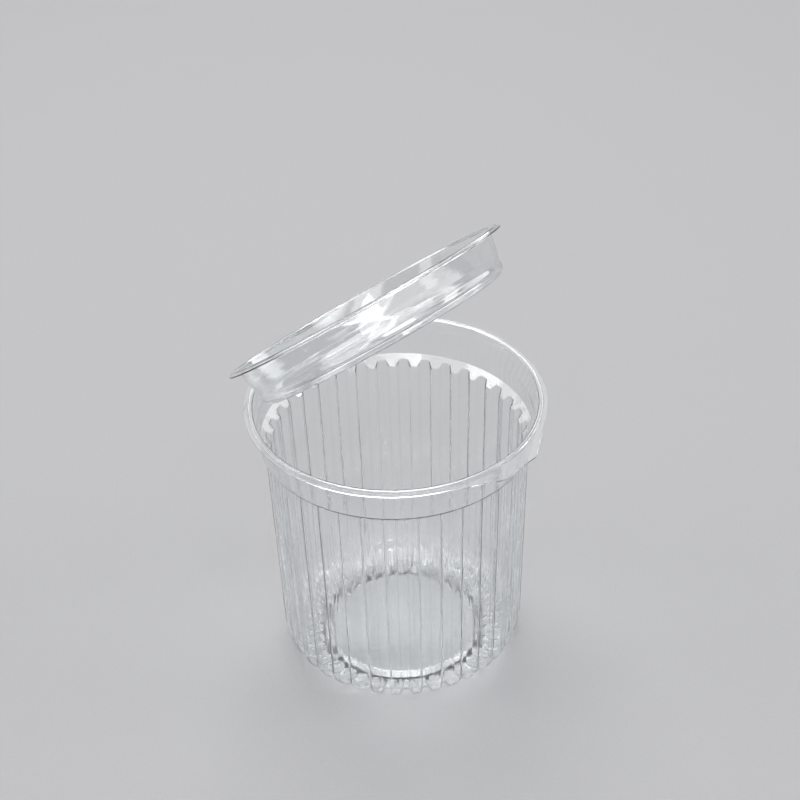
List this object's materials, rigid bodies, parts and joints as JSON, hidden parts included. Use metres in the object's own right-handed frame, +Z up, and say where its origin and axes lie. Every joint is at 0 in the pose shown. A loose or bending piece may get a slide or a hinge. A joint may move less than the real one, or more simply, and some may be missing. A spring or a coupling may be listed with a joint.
{
  "type": "hinged food container",
  "caption": "Clear fluted round food pot with a flanged neck and a plug lid on a living hinge, standing part open.",
  "frame": {"origin": "centre of the plane that the pot stands on, on the tub's axis", "axes": "+Z up along the tub's axis, hinge on the +Y side, opening tab on the -Y side"},
  "size_m": [0.118, 0.1259, 0.1982],
  "materials": {
    "clear_pet": "clear thermoformed PET sheet, glossy, slightly hazed at the drawn corners"
  },
  "bodies": {
    "tub_body": {"tub": "clear_pet"},
    "lid_body": {"lid": "clear_pet"}
  },
  "joints": [
    {"name": "lid_hinge", "type": "hinge", "parent": "tub_body", "child": "lid_body", "pos_m": [0, 0.0617, 0.11715], "axis": [-1, 0, 0], "range_deg": [-40, 140]}
  ]
}
